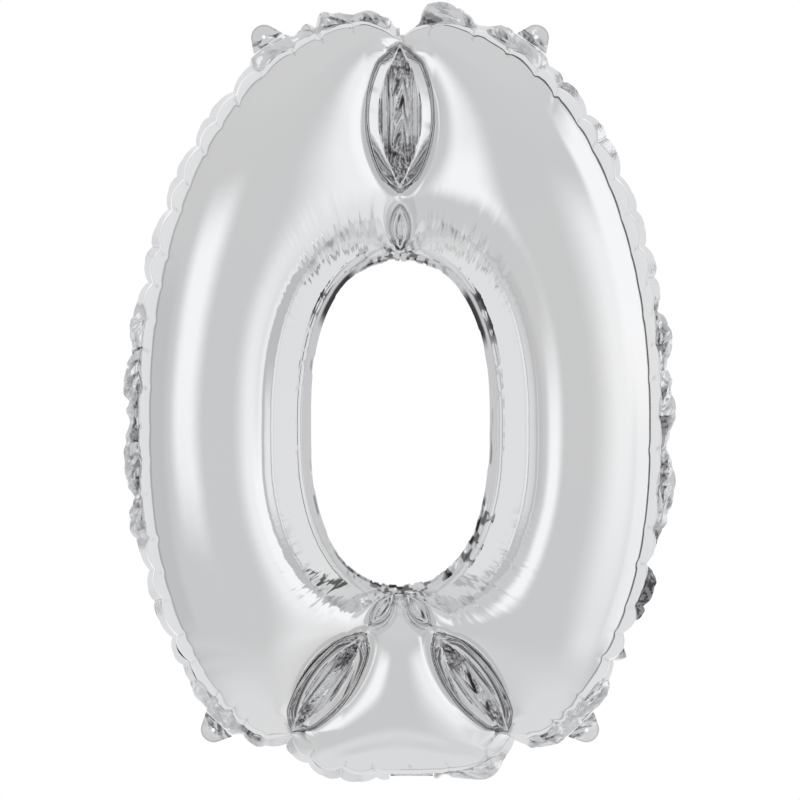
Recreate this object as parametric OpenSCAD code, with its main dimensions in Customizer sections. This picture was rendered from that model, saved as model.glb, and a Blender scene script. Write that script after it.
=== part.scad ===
// Foil number balloon "0": two foil panels heat-sealed into a ring of three chambers.
// The ring stands in the XZ plane, front towards -Y. Lengths are in millimetres.

/* [Ring outline] */
// Half width of the ring at the outer seam
outer_half_w = 111; // [94:1:133]
// Height of the outer seam above the ring's centre, before the top is pinched in
outer_top = 172; // [146:1:206]
// Depth of the outer seam below the ring's centre
outer_bottom = 149; // [126:1:178]
// Half width of the inner seam, round the hole
inner_half_w = 41.5; // [34:0.5:50]
// Half height of the inner seam
inner_half_h = 72; // [60:0.5:86]
// Squareness of the upper outline, where 2 is an ellipse
top_power = 2.2; // [2:0.05:3]
// Squareness of the lower outline
bottom_power = 2.4; // [2:0.05:3]
// Squareness of the hole
inner_power = 2.35; // [2:0.05:3]

/* [Foil] */
// Thickness of one foil panel
foil_t = 0.15; // [0.12:0.01:0.4]
// Width of the trimmed margin outside the outer seam
outer_margin_w = 5.5; // [4:0.5:10]
// Width of the trimmed margin inside the inner seam
inner_margin_w = 3.8; // [2:0.2:6]
// Number of puckers round the outer margin
puckers = 58; // [40:1:72]
// Share of the outer margin's width that a pucker takes away
pucker_depth = 0.28; // [0:0.02:0.5]
// Depth of the inflated tube, front to back
tube_depth = 69; // [50:1:80]
// Depth of the inflated bottom chamber, front to back
bottom_depth = 50; // [36:1:64]

/* [Dividers] */
// Outline angle from straight down to the outer end of each lower divider
low_divider_spread = 22.5; // [19:0.5:27]
// Half width of the weld in the top divider
top_weld_half_w = 9.5; // [6:0.5:14]
// Half width of the welds in the two lower dividers
low_weld_half_w = 6; // [4:0.5:9]
// Half width of the small weld at a divider's inner end
tip_weld_half_w = 2.6; // [1.5:0.1:3.5]
// Distance over which a chamber rises from a divider
divider_rise = 24; // [16:1:34]
// Height of the gas passage between a divider's two welds
passage_h = 5; // [2:0.5:8]
// How far the top divider pulls the outline in, as a share of its radius
top_pinch = 0.043; // [0:0.005:0.08]
// The same for the two lower dividers
low_pinch = 0.044; // [0:0.005:0.08]

/* [Hanging tabs] */
// Outline angle from straight up to the upper tabs
upper_tab_spread = 26; // [18:1:36]
// Outline angle from straight down to the lower tabs
lower_tab_spread = 37; // [33:1:46]
// Radius of a tab's round end
tab_r = 5.4; // [4.5:0.1:7]
// Distance from a tab's root to its hole
tab_reach = 3.4; // [3:0.2:6]
// Width of a tab at its root
tab_root_w = 15; // [13:0.5:17]
// Radius of the ribbon hole
tab_hole_r = 0.8; // [0.6:0.1:1.6]
// Gap left at a crease, so that a folding piece clears the margin
crease_gap = 0.3; // [0.3:0.05:0.6]

/* [Filling neck and valve] */
// Sideways place of the neck at the bottom seam
neck_x = 5; // [-8:0.5:8]
// Width of the neck
neck_w = 18; // [14:0.5:24]
// Length of the neck
neck_len = 30; // [22:1:32]
// Width of the weld along each side of the neck and of the valve
side_weld_w = 1.5; // [1:0.1:2.5]
// Width of the valve sleeve
valve_w = 15; // [10:0.5:18]
// Length of the valve sleeve inside the bottom chamber
valve_len = 54; // [34:1:56]
// Thickness of one valve film
film_t = 0.1; // [0.08:0.01:0.12]

/* [Hidden] */

seam_t = 2 * foil_t;             // both foils, fused
neck_half_t = seam_t / 2 + foil_t;
root_gap = 0.1;                  // from a fold line to the piece that folds about it
neck_corner_r = 3;
film_len = neck_len - 6;         // the films end short of the mouth, so that a straw finds its way in
top_pinch_spread = 4.3;          // degrees of outline that a pinch draws in
low_pinch_spread = 5;
lens_shift = 30;                 // how far from a divider the grid gives way to its welds
low_divider_inner = 2;           // outline angle from straight down to a lower divider's inner end

// Angles run clockwise from the top as seen from the front.
// Dividers in order: the outline angle of the outer end, of the inner end, the weld's half width
DIVIDERS = [[0, 0, top_weld_half_w],
    [180 - low_divider_spread, 180 - low_divider_inner, low_weld_half_w],
    [180 + low_divider_spread, 180 + low_divider_inner, low_weld_half_w]];
CHAMBER_DEPTH = [tube_depth, bottom_depth, tube_depth];
COLUMNS = [32, 14, 32];          // grid steps along each chamber
ROWS = 30;                       // grid steps from the outer seam to the inner one
WELD_ROWS = [4, 19];             // rows where the large weld starts and ends
TIP_ROWS = [21, 28];             // rows where the small weld starts and ends

// Outline angles of the tabs: upper left, upper right, lower left, lower right
TAB_ANGLES = [360 - upper_tab_spread, upper_tab_spread, 180 + lower_tab_spread, 180 - lower_tab_spread];

foil_colour = [0.78, 0.78, 0.79];
seam_colour = [0.68, 0.68, 0.7];
film_colour = [0.85, 0.88, 0.9];

// ---- Outline of the ring ----

function signed_pow(v, p) = sign(v) * pow(abs(v), p);

function unit(v) = v / norm(v);

function mix(a, b, f) = a + (b - a) * f;

// The difference of two angles, from -180 to 180
function turn(a, b) = (a - b + 540) % 360 - 180;

function outer_power(t) = cos(t) >= 0 ? top_power : bottom_power;

function pinch(t) = top_pinch * exp(-pow(turn(t, DIVIDERS[0][0]) / top_pinch_spread, 2))
    + low_pinch * (exp(-pow(turn(t, DIVIDERS[1][0]) / low_pinch_spread, 2))
        + exp(-pow(turn(t, DIVIDERS[2][0]) / low_pinch_spread, 2)));

function outer_at(t) = (1 - pinch(t)) * [
    outer_half_w * signed_pow(sin(t), 2 / outer_power(t)),
    (cos(t) >= 0 ? outer_top : outer_bottom) * signed_pow(cos(t), 2 / outer_power(t))];

function inner_at(t) = [
    inner_half_w * signed_pow(sin(t), 2 / inner_power),
    inner_half_h * signed_pow(cos(t), 2 / inner_power)];

// Direction along the outer seam, clockwise, and outwards from it
function along_outer(t) = unit(outer_at(t + 0.5) - outer_at(t - 0.5));

function out_of_outer(t) = [-along_outer(t)[1], along_outer(t)[0]];

function grown(p, by) = p * (1 + by / norm(p));

// Tabs and the neck keep the margin's whole width beside them
function near_tab(t) = max([for (a = TAB_ANGLES) exp(-pow(turn(t, a) / 4, 4))]);

function margin_at(t) = outer_margin_w
    * (1 - pucker_depth * (1 - near_tab(t)) * abs(cos(puckers * t / 2)));

EDGE_STEPS = 4 * puckers;
margin_edge = [for (i = [0:EDGE_STEPS - 1]) let (t = 360 * i / EDGE_STEPS) grown(outer_at(t), margin_at(t))];

// ---- Place of the origin ----

// A fold line stands off the edge by the gap and by half of what folds about it
neck_z = -outer_bottom - crease_gap - neck_half_t;
function tab_crease(t) = outer_at(t) + out_of_outer(t) * (outer_margin_w + crease_gap + foil_t);
function tab_hole(t) = tab_crease(t) + out_of_outer(t) * tab_reach;
// Where the line from a tab's root corner touches its round end
tab_corner = [tab_root_w / 2, root_gap - tab_reach];
tab_flank = atan2(tab_corner[1], tab_corner[0]) + acos(tab_r / norm(tab_corner));

// The ring is shifted so that the origin is the centre of the whole balloon's box
tab_extents = [for (t = TAB_ANGLES) tab_hole(t)];
high_z = max(max([for (p = margin_edge) p[1]]), max([for (p = tab_extents) p[1]]) + tab_r);
low_z = min(min([for (p = margin_edge) p[1]]), min([for (p = tab_extents) p[1]]) - tab_r);
centre_z = (high_z + low_z) / 2;

// ---- Grid of the front panel ----

function eased(i, n) = mix(i / n, (1 - cos(180 * i / n)) / 2, 0.6);

function divider_next(k) = [DIVIDERS[(k + 1) % 3][0] + (k == 2 ? 360 : 0),
    DIVIDERS[(k + 1) % 3][1] + (k == 2 ? 360 : 0)];

// Share of the way from the inner seam to the outer one at a row
function out_share(j) = (1 + cos(180 * j / ROWS)) / 2;

// Point of the ring's plane at chamber k, share f along it, row j, before the welds push it aside
function plane_at(k, f, j) = mix(inner_at(mix(DIVIDERS[k][1], divider_next(k)[1], f)),
    outer_at(mix(DIVIDERS[k][0], divider_next(k)[0], f)), out_share(j));

// Outward direction of divider d, and clockwise across it
function divider_out(d) = unit(outer_at(DIVIDERS[d][0]) - inner_at(DIVIDERS[d][1]));
function divider_across(d) = [divider_out(d)[1], -divider_out(d)[0]];

// Half width of an almond-shaped weld between rows a and b
function almond(j, a, b, w) = j > a && j < b
    ? w * pow(sin(180 * (out_share(a) - out_share(j)) / (out_share(a) - out_share(b))), 0.9) : 0;

function weld_half_w(d, j) = almond(j, WELD_ROWS[0], WELD_ROWS[1], DIVIDERS[d][2])
    + almond(j, TIP_ROWS[0], TIP_ROWS[1], tip_weld_half_w);

function in_weld(j) = (j > WELD_ROWS[0] && j < WELD_ROWS[1]) || (j > TIP_ROWS[0] && j < TIP_ROWS[1]);

function is_tip(j) = j == WELD_ROWS[0] || j == WELD_ROWS[1] || j == TIP_ROWS[0] || j == TIP_ROWS[1];

// Height of the foil over a divider: nothing on a weld, a low arch in a passage
function divider_h(j) = in_weld(j) || is_tip(j) || j == 0 || j == ROWS ? 0
    : j < WELD_ROWS[0] || j > TIP_ROWS[1] ? passage_h / 4 : passage_h;

function fade(d) = pow(1 - min(d / lens_shift, 1), 2);

function pushed(k, f, j) = let (p = plane_at(k, f, j), a = k, b = (k + 1) % 3,
    from_a = norm(p - plane_at(k, 0, j)), from_b = norm(p - plane_at(k, 1, j)))
    p + divider_across(a) * weld_half_w(a, j) * fade(from_a)
      - divider_across(b) * weld_half_w(b, j) * fade(from_b);

function rise(d) = sqrt(1 - pow(1 - min(d / divider_rise, 1), 2));

// Half depth of a chamber: round where it is narrow, and no deeper than the tube
function chamber_h(k, f) = let (across = norm(plane_at(k, f, 0) - plane_at(k, f, ROWS)))
    CHAMBER_DEPTH[k] / 2 / pow(1 + pow(CHAMBER_DEPTH[k] / across, 8), 1 / 8) * pow(2, 1 / 8);

function height_at(k, f, j) = let (p = pushed(k, f, j), full = chamber_h(k, f) * sin(180 * j / ROWS),
    near = rise(norm(p - pushed(k, 0, j))) * rise(norm(p - pushed(k, 1, j))))
    mix(divider_h(j), full, near);

function grid_point(k, i, j) = let (f = eased(i, COLUMNS[k]), p = pushed(k, f, j), h = height_at(k, f, j))
    [p[0], -seam_t / 2 - (j == 0 || j == ROWS ? 0 : h), p[1]];

// Columns of all chambers in one list, so a divider has the last column of one chamber and the first of the next
COLUMN_KEYS = [for (k = [0:2]) for (i = [0:COLUMNS[k]]) [k, i]];
COLUMN_COUNT = len(COLUMN_KEYS);
outside = [for (c = COLUMN_KEYS) [for (j = [0:ROWS]) grid_point(c[0], c[1], j)]];

function is_first(c) = COLUMN_KEYS[c][1] == 0;
function is_last(c) = COLUMN_KEYS[c][1] == COLUMNS[COLUMN_KEYS[c][0]];
function wrap(c) = (c + COLUMN_COUNT) % COLUMN_COUNT;

// Neighbouring columns, stepping over a divider's doubled column
function before(c) = is_first(c) ? wrap(c - 2) : c - 1;
function after(c) = is_last(c) ? wrap(c + 2) : c + 1;

// Inward normal of the grid away from its edges
function inward(c, j) = unit(cross(outside[after(c)][j] - outside[before(c)][j],
    outside[c][j + 1] - outside[c][j - 1]));

// In-plane step from an edge of the panel towards its foil
function edge_step(c, j) = let (k = COLUMN_KEYS[c][0], d = is_last(c) ? (k + 1) % 3 : k,
    o = divider_out(d), a = divider_across(d) * (is_last(c) ? -1 : 1),
    radial = unit(outside[c][0] - outside[c][ROWS]))
    j == 0 ? -radial : j == ROWS ? radial
    : j == WELD_ROWS[0] || j == TIP_ROWS[0] ? [o[0], 0, o[1]]
    : j == WELD_ROWS[1] || j == TIP_ROWS[1] ? [-o[0], 0, -o[1]]
    : [a[0], 0, a[1]];

function is_edge(c, j) = j == 0 || j == ROWS || ((is_first(c) || is_last(c)) && (in_weld(j) || is_tip(j)));

inside = [for (c = [0:COLUMN_COUNT - 1]) [for (j = [0:ROWS])
    outside[c][j] + foil_t * (is_edge(c, j) ? edge_step(c, j) : inward(c, j))]];

// The first column of a chamber uses the last column of the one before it, except along the welds
function owner(c, j) = is_first(c) && !in_weld(j) ? wrap(c - 1) : c;
function out_id(c, j) = owner(c, j) * (ROWS + 1) + j;
function in_id(c, j) = out_id(c, j) + COLUMN_COUNT * (ROWS + 1);

function two_triangles(a, b, c, d) = [[a, b, c], [a, c, d]];

panel_faces = [for (c = [0:COLUMN_COUNT - 1]) if (!is_last(c)) for (j = [0:ROWS - 1])
    each concat(two_triangles(out_id(c, j), out_id(c, j + 1), out_id(c + 1, j + 1), out_id(c + 1, j)),
        two_triangles(in_id(c, j), in_id(c + 1, j), in_id(c + 1, j + 1), in_id(c, j + 1)))];

seam_rim_faces = [for (c = [0:COLUMN_COUNT - 1]) if (!is_last(c))
    each concat(two_triangles(out_id(c, 0), out_id(c + 1, 0), in_id(c + 1, 0), in_id(c, 0)),
        two_triangles(out_id(c + 1, ROWS), out_id(c, ROWS), in_id(c, ROWS), in_id(c + 1, ROWS)))];

weld_rim_faces = [for (c = [0:COLUMN_COUNT - 1]) if (is_first(c) || is_last(c))
    for (j = [0:ROWS - 1]) if (in_weld(j) || in_weld(j + 1))
    each is_first(c)
        ? two_triangles(out_id(c, j + 1), out_id(c, j), in_id(c, j), in_id(c, j + 1))
        : two_triangles(out_id(c, j), out_id(c, j + 1), in_id(c, j + 1), in_id(c, j))];

// ---- Modules ----

// Everything is drawn with the ring's centre at the origin, then moved to the box's centre
module placed() translate([0, 0, -centre_z]) children();

// A flat piece drawn in the ring's plane, as x and z
module plate(thickness, from = undef)
    translate([0, (is_undef(from) ? -thickness / 2 : from) + thickness, 0])
        rotate([90, 0, 0]) linear_extrude(thickness) children();

module foil_panel()
    polyhedron(points = concat([for (c = outside) each c], [for (c = inside) each c]),
        faces = concat(panel_faces, seam_rim_faces, weld_rim_faces));

module front_foil_panel() color(foil_colour) placed() foil_panel();

module back_foil_panel() color(foil_colour) placed() mirror([0, 1, 0]) foil_panel();

// The trimmed margin outside the outer seam, open where the neck leaves it
module outer_seam_margin() color(seam_colour) placed() plate(seam_t) difference() {
    polygon(margin_edge);
    polygon([for (c = [0:COLUMN_COUNT - 1]) if (!is_first(c)) [inside[c][0][0], inside[c][0][2]]]);
    translate([neck_x - neck_w / 2 - crease_gap, -outer_bottom - 2 * outer_margin_w])
        square([neck_w + 2 * crease_gap, 2 * outer_margin_w + 3]);
}

// The margin inside the inner seam, round the hole
module inner_seam_margin() color(seam_colour) placed() plate(seam_t) difference() {
    polygon([for (c = [0:COLUMN_COUNT - 1]) if (!is_first(c)) [inside[c][ROWS][0], inside[c][ROWS][2]]]);
    polygon([for (i = [0:119]) grown(inner_at(3 * i), -inner_margin_w)]);
}

// One almond-shaped patch where both foils are fused, between two rows of divider d
module weld(d, rows) {
    last = [for (c = [0:COLUMN_COUNT - 1]) if (is_last(c) && (COLUMN_KEYS[c][0] + 1) % 3 == d) c][0];
    first = wrap(last + 1);
    plate(seam_t) polygon(concat(
        [for (j = [rows[0]:rows[1]]) [inside[last][j][0], inside[last][j][2]]],
        [for (j = [rows[1] - 1:-1:rows[0] + 1]) [inside[first][j][0], inside[first][j][2]]]));
}

module top_divider_weld() color(seam_colour) placed() weld(0, WELD_ROWS);
module top_divider_tip_weld() color(seam_colour) placed() weld(0, TIP_ROWS);
module right_divider_weld() color(seam_colour) placed() weld(1, WELD_ROWS);
module right_divider_tip_weld() color(seam_colour) placed() weld(1, TIP_ROWS);
module left_divider_weld() color(seam_colour) placed() weld(2, WELD_ROWS);
module left_divider_tip_weld() color(seam_colour) placed() weld(2, TIP_ROWS);

// A round end that flares out to the root along tangents of the circle
module tab_outline() intersection() {
    union() {
        translate([0, tab_reach]) circle(r = tab_r, $fn = 64);
        polygon([[-tab_root_w / 2, root_gap], [tab_root_w / 2, root_gap],
            [tab_r * cos(tab_flank), tab_reach + tab_r * sin(tab_flank)],
            [-tab_r * cos(tab_flank), tab_reach + tab_r * sin(tab_flank)]]);
    }
    translate([-tab_root_w, root_gap]) square([2 * tab_root_w, tab_reach + 2 * tab_r]);
}

// A round-ended tab with a ribbon hole, standing out of the margin at outline angle t
module hang_tab(t) color(seam_colour) placed()
    translate([tab_crease(t)[0], 0, tab_crease(t)[1]])
        rotate([0, atan2(out_of_outer(t)[0], out_of_outer(t)[1]), 0]) difference() {
            plate(seam_t) tab_outline();
            translate([0, seam_t, tab_reach]) rotate([90, 0, 0])
                cylinder(r = tab_hole_r, h = 2 * seam_t, $fn = 64);
        }

module upper_left_hang_tab() hang_tab(TAB_ANGLES[0]);
module upper_right_hang_tab() hang_tab(TAB_ANGLES[1]);
module lower_left_hang_tab() hang_tab(TAB_ANGLES[2]);
module lower_right_hang_tab() hang_tab(TAB_ANGLES[3]);

// The neck is drawn hanging down from its fold line, then folded back behind the balloon
module folded_neck() placed() translate([neck_x, 0, neck_z]) rotate([90, 0, 0]) children();

// A strip of width w from the fold line to length l, in the neck's own plane
module neck_strip(w, l) translate([-w / 2, -l]) square([w, l - root_gap]);

// The neck ends in two rounded corners
module neck_outline() {
    neck_strip(neck_w, neck_len - neck_corner_r);
    neck_strip(neck_w - 2 * neck_corner_r, neck_len);
    for (side = [-1, 1])
        translate([side * (neck_w / 2 - neck_corner_r), neck_corner_r - neck_len])
            circle(r = neck_corner_r, $fn = 48);
}

module neck_foil(side) color(foil_colour) folded_neck()
    plate(foil_t, side < 0 ? -neck_half_t : seam_t / 2) neck_outline();

module neck_front_foil() neck_foil(-1);
module neck_back_foil() neck_foil(1);

// Both foils are fused along the neck's sides, outside the valve films
module neck_side_welds() color(seam_colour) folded_neck() plate(seam_t) difference() {
    neck_strip(neck_w, film_len);
    neck_strip(neck_w - 2 * side_weld_w, film_len + 1);
    translate([0, 1]) neck_strip(neck_w - 2 * side_weld_w, film_len);
}

// Valve films inside the neck, with the straw's way between them
module neck_film(side) color(film_colour) folded_neck()
    plate(film_t, side < 0 ? -seam_t / 2 : seam_t / 2 - film_t)
        neck_strip(neck_w - 2 * side_weld_w, film_len);

module neck_front_film() neck_film(-1);
module neck_back_film() neck_film(1);

// Valve films inside the bottom chamber: a flat sleeve that the gas presses shut
module valve_sleeve() placed() translate([neck_x, 0, -outer_bottom]) children();

module valve_film(side) color(film_colour) valve_sleeve()
    plate(film_t, side < 0 ? -seam_t / 2 : seam_t / 2 - film_t)
        translate([-valve_w / 2, 0]) square([valve_w, valve_len]);

module valve_front_film() valve_film(-1);
module valve_back_film() valve_film(1);

module valve_side_welds() color(film_colour) valve_sleeve() for (side = [-1, 1])
    plate(seam_t - 2 * film_t) translate([side < 0 ? -valve_w / 2 : valve_w / 2 - side_weld_w, 0])
        square([side_weld_w, valve_len]);

front_foil_panel();
back_foil_panel();
outer_seam_margin();
inner_seam_margin();
top_divider_weld();
top_divider_tip_weld();
left_divider_weld();
left_divider_tip_weld();
right_divider_weld();
right_divider_tip_weld();
upper_left_hang_tab();
upper_right_hang_tab();
lower_left_hang_tab();
lower_right_hang_tab();
neck_front_foil();
neck_back_foil();
neck_side_welds();
neck_front_film();
neck_back_film();
valve_front_film();
valve_back_film();
valve_side_welds();
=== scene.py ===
"""Foil number balloon "0": the looks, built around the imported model."""
import math

import bpy
import numpy as np
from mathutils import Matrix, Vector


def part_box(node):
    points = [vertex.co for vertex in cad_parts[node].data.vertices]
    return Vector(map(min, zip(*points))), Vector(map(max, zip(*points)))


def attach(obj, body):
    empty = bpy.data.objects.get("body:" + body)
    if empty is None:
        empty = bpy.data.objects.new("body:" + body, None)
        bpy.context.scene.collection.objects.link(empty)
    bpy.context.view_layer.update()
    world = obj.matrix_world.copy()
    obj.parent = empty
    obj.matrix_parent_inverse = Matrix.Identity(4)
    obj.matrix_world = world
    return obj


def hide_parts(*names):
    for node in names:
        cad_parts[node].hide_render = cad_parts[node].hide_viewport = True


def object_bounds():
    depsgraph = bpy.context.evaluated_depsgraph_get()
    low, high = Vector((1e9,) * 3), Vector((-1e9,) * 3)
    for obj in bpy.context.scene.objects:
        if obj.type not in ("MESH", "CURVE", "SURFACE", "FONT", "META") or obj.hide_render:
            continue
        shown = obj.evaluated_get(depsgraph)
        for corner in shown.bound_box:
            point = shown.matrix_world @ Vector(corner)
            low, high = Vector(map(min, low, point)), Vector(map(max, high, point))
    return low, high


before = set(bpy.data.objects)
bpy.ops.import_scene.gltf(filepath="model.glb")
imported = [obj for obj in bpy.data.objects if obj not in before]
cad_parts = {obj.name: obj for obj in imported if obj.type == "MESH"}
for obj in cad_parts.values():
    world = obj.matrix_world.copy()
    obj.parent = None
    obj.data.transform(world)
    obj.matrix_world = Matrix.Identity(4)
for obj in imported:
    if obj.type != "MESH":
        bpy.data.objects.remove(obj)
cad_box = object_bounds()
MM = 0.001
rng = np.random.default_rng(7)

# ---------------------------------------------------------------- ring outline, in mm
# The same outline as the design's, about the ring's centre.
OUTER_HALF_W, OUTER_TOP, OUTER_BOTTOM = 111.0, 172.0, 149.0
INNER_HALF_W, INNER_HALF_H = 41.5, 72.0
TOP_POWER, BOTTOM_POWER, INNER_POWER = 2.2, 2.4, 2.35
TOP_PINCH, LOW_PINCH = 0.043, 0.044
TOP_PINCH_SPREAD, LOW_PINCH_SPREAD = 4.3, 5.0
DIVIDERS = ((0.0, 0.0), (157.5, 178.0), (202.5, 182.0))
WELD_HALF_W = (9.5, 6.0, 6.0)
TIP_HALF_W = 2.6
ALMOND_POWER = 0.9
MARGIN_W = 5.5
INNER_MARGIN_W = 3.8

lo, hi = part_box("inner_seam_margin")
CENTRE_Z = (lo[2] + hi[2]) / 2 / MM


def signed_pow(v, p):
    return np.sign(v) * np.abs(v) ** p


def turn(a, b):
    """Difference of two outline angles, from -180 to 180 degrees."""
    return (a - b + 540) % 360 - 180


def outer_at(t):
    """Points (x, z) of the outer seam at outline angles, in degrees clockwise from the top."""
    t = np.asarray(t, float)
    s, c = np.sin(np.radians(t)), np.cos(np.radians(t))
    power = np.where(c >= 0, TOP_POWER, BOTTOM_POWER)
    pinch = TOP_PINCH * np.exp(-(turn(t, 0) / TOP_PINCH_SPREAD) ** 2)
    for d in DIVIDERS[1:]:
        pinch = pinch + LOW_PINCH * np.exp(-(turn(t, d[0]) / LOW_PINCH_SPREAD) ** 2)
    x = OUTER_HALF_W * signed_pow(s, 2 / power)
    z = np.where(c >= 0, OUTER_TOP, OUTER_BOTTOM) * signed_pow(c, 2 / power)
    return np.stack([x, z], -1) * (1 - pinch)[..., None]


def inner_at(t):
    """The same for the inner seam."""
    t = np.asarray(t, float)
    s, c = np.sin(np.radians(t)), np.cos(np.radians(t))
    return np.stack([INNER_HALF_W * signed_pow(s, 2 / INNER_POWER),
                     INNER_HALF_H * signed_pow(c, 2 / INNER_POWER)], -1)


# ---------------------------------------------------------------- flat grid of one panel
# Columns of each chamber, rows from the outer seam to the inner one, and the rows that each weld opens.
COLUMNS = (520, 160, 520)
ROWS = 60
WELD_ROWS = (8, 38)
TIP_ROWS = (42, 56)
PUSH_REACH = 30.0


def eased(n):
    """0 to 1 in n steps, closer together at both ends."""
    i = np.arange(n + 1) / n
    return 0.2 * i + 0.8 * (1 - np.cos(np.pi * i)) / 2


share = (1 + np.cos(np.pi * np.arange(ROWS + 1) / ROWS)) / 2


def almond(rows, width):
    """Half width of a weld at every row, pointed at both ends."""
    a, b = rows
    j = np.arange(ROWS + 1)
    f = np.clip((share[a] - share) / (share[a] - share[b]), 0, 1)
    return np.where((j > a) & (j < b), width * np.sin(np.pi * f) ** ALMOND_POWER, 0.0)


def divider_frame(d):
    """Unit directions outward along a divider and across it."""
    o = outer_at(DIVIDERS[d][0]) - inner_at(DIVIDERS[d][1])
    o = o / np.linalg.norm(o)
    return o, np.array([o[1], -o[0]])


def divider_coords(p, d, origin):
    """Distances across and along a divider, from a point of its centre line."""
    o, a = divider_frame(d)
    x, z = p[..., 0] - origin[0], p[..., 2] - origin[1]
    return x * a[0] + z * a[1], x * o[0] + z * o[1]


# each column's points, its angles on the two outlines, and its chamber
flat, out_t, in_t, chamber = [], [], [], []
for k in range(3):
    f = eased(COLUMNS[k])[:, None]
    o0, i0 = DIVIDERS[k]
    o1, i1 = DIVIDERS[(k + 1) % 3]
    if k == 2:
        o1, i1 = 360.0, 360.0
    to, ti = o0 + (o1 - o0) * f, i0 + (i1 - i0) * f
    plane = inner_at(ti) + (outer_at(to) - inner_at(ti)) * share[None, :, None]
    for end, sign, d in ((0, 1, k), (-1, -1, (k + 1) % 3)):
        dist = np.linalg.norm(plane - plane[end][None], axis=-1)
        held = (1 - np.minimum(dist / PUSH_REACH, 1)) ** 2
        half = almond(WELD_ROWS, WELD_HALF_W[d]) + almond(TIP_ROWS, TIP_HALF_W)
        push = (half[None] * held)[..., None] * divider_frame(d)[1]
        plane = plane + push * sign
    flat.append(plane)
    out_t.append(to[:, 0])
    in_t.append(ti[:, 0])
    chamber.append(np.full(COLUMNS[k] + 1, k))
flat = np.concatenate(flat)
out_t = np.concatenate(out_t)
in_t = np.concatenate(in_t)
chamber = np.concatenate(chamber)
NC = len(out_t)
first = np.r_[True, chamber[1:] != chamber[:-1]]
last = np.r_[chamber[1:] != chamber[:-1], True]
rows = np.arange(ROWS + 1)
in_weld = ((rows > WELD_ROWS[0]) & (rows < WELD_ROWS[1])) | ((rows > TIP_ROWS[0]) & (rows < TIP_ROWS[1]))
tip_row = np.isin(rows, WELD_ROWS + TIP_ROWS)

# neighbouring chambers share their points except inside the welds
ids = np.arange(NC * (ROWS + 1)).reshape(NC, ROWS + 1)
for c in np.flatnonzero(first):
    ids[c, ~in_weld] = ids[(c - 1) % NC, ~in_weld]
pinned = np.zeros((NC, ROWS + 1), bool)
pinned[:, 0] = pinned[:, -1] = True
pinned[(first | last)[:, None] & (in_weld | tip_row)[None, :]] = True

cells = np.flatnonzero(~last)
quads = np.stack([ids[cells][:, :-1], ids[cells][:, 1:], ids[cells + 1][:, 1:], ids[cells + 1][:, :-1]],
                 -1).reshape(-1, 4)

# ---------------------------------------------------------------- inflated height
# Height squared solves a Poisson equation over the flat shape: round tubes, steep at every weld.
SCREEN = 4e-4
MOST_STEPS, TOLERANCE = 1500, 1e-7


def inflate(points, quads, pinned):
    """Height at every point, 0 where pinned, by finite elements and conjugate gradients."""
    n = len(points)
    tris = np.concatenate([quads[:, [0, 1, 2]], quads[:, [0, 2, 3]]])
    p = points[tris]
    e = [p[:, (i + 2) % 3] - p[:, (i + 1) % 3] for i in range(3)]
    area = 0.5 * np.abs(e[0][:, 0] * e[1][:, 1] - e[0][:, 1] * e[1][:, 0]) + 1e-12
    ii, jj, ww = [], [], []
    for a in range(3):
        b, c = (a + 1) % 3, (a + 2) % 3
        w = -(e[b] * e[c]).sum(1) / (4 * area)
        ii += [tris[:, b], tris[:, c]]
        jj += [tris[:, c], tris[:, b]]
        ww += [w, w]
    ii, jj, ww = map(np.concatenate, (ii, jj, ww))
    load = np.bincount(tris.ravel(), np.repeat(area / 3, 3), n)
    diag = np.bincount(ii, ww, n) + SCREEN * load
    free = ~pinned & (load > 0)
    keep = free[ii] & free[jj]
    ii, jj, ww = ii[keep], jj[keep], ww[keep]
    b = np.where(free, 2 * load, 0.0)
    inv = np.where(free, 1 / np.maximum(diag, 1e-9), 0.0)
    x = np.zeros(n)
    r = b.copy()
    z = inv * r
    d = z.copy()
    rz = r @ z
    for _ in range(MOST_STEPS):
        q = np.where(free, diag * d - np.bincount(ii, ww * d[jj], n), 0.0)
        a = rz / (d @ q)
        x += a * d
        r -= a * q
        if np.abs(r).max() < TOLERANCE * np.abs(b).max():
            break
        z = inv * r
        new = r @ z
        d = z + (new / rz) * d
        rz = new
    return np.sqrt(np.maximum(x, 0))


flat_pts = np.zeros((NC * (ROWS + 1), 2))
flat_pts[ids.ravel()] = flat.reshape(-1, 2)
pin_flags = np.zeros(NC * (ROWS + 1), bool)
pin_flags[ids[pinned]] = True
height = inflate(flat_pts, quads, pin_flags)[ids]

# ---------------------------------------------------------------- helpers


class Noise:
    """Smooth lattice noise in two or three dimensions, about -1 to 1."""

    def __init__(self, seed):
        self.table = np.random.default_rng(seed).uniform(-1, 1, 4096)

    def lattice(self, cell):
        h = np.zeros(cell[0].shape, np.int64)
        for c, prime in zip(cell, (73856093, 19349663, 83492791)):
            h ^= c.astype(np.int64) * prime
        return self.table[h % 4096]

    def __call__(self, *coords):
        coords = np.broadcast_arrays(*coords)
        cells = [np.floor(c) for c in coords]
        part = [c - f for c, f in zip(coords, cells)]
        part = [p * p * p * (p * (6 * p - 15) + 10) for p in part]
        total = 0
        for corner in np.ndindex(*(2,) * len(coords)):
            weight = 1
            for p, k in zip(part, corner):
                weight = weight * (p if k else 1 - p)
            total = total + weight * self.lattice([c + k for c, k in zip(cells, corner)])
        return total


def creases(noise, *coords):
    """Ridged noise: flat facets that meet in sharp folds, about 0 to 1."""
    a = 1 - np.abs(noise(*coords))
    b = 1 - np.abs(noise(*[2.1 * c + 17.3 for c in coords]))
    return 0.7 * a ** 2 + 0.3 * b ** 2


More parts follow.
